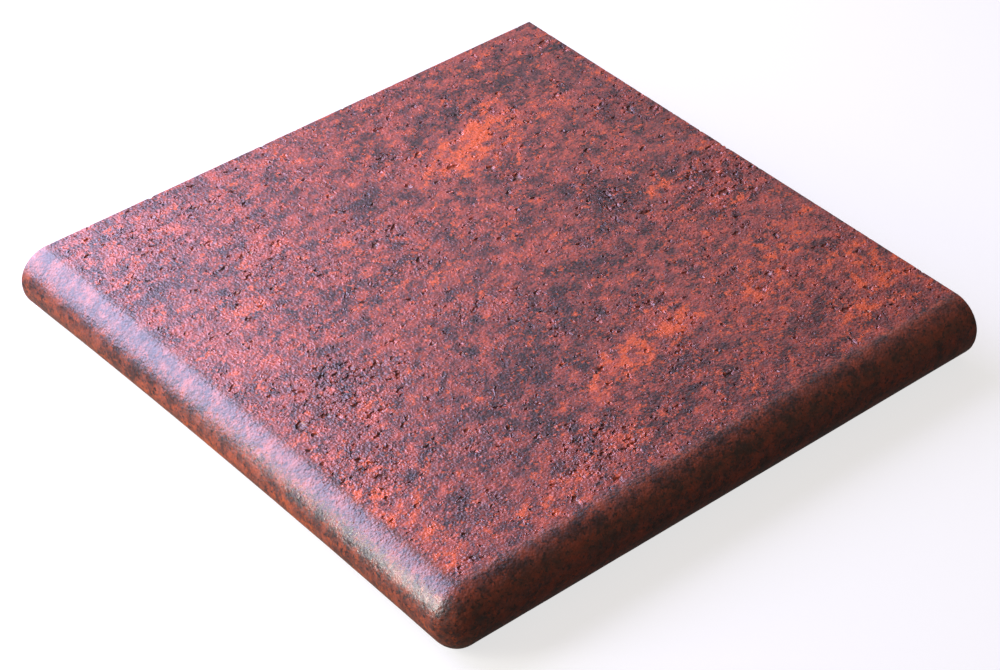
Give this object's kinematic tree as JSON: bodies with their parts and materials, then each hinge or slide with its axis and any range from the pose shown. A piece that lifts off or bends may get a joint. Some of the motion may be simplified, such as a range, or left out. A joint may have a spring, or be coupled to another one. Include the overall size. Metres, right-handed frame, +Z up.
{
  "type": "corner stair tread tile",
  "caption": "Square clay stair tread tile for an outer corner, with a rounded nose that curls down into a lip along two adjoining edges.",
  "frame": {"origin": "on the floor below the middle of the square, so the lips' bottoms are at z = 0", "axes": "+Z up through the tread, +X towards the cut edge opposite the side nose, +Y towards the cut edge opposite the front nose"},
  "size_m": [0.33, 0.33, 0.035],
  "materials": {
    "fired_clay": "brick red mottled with rust orange and slate blue, fine grained and pitted on top, smooth on the noses, satin sheen"
  },
  "bodies": {
    "root": {"corner_tread": "fired_clay"}
  },
  "joints": []
}
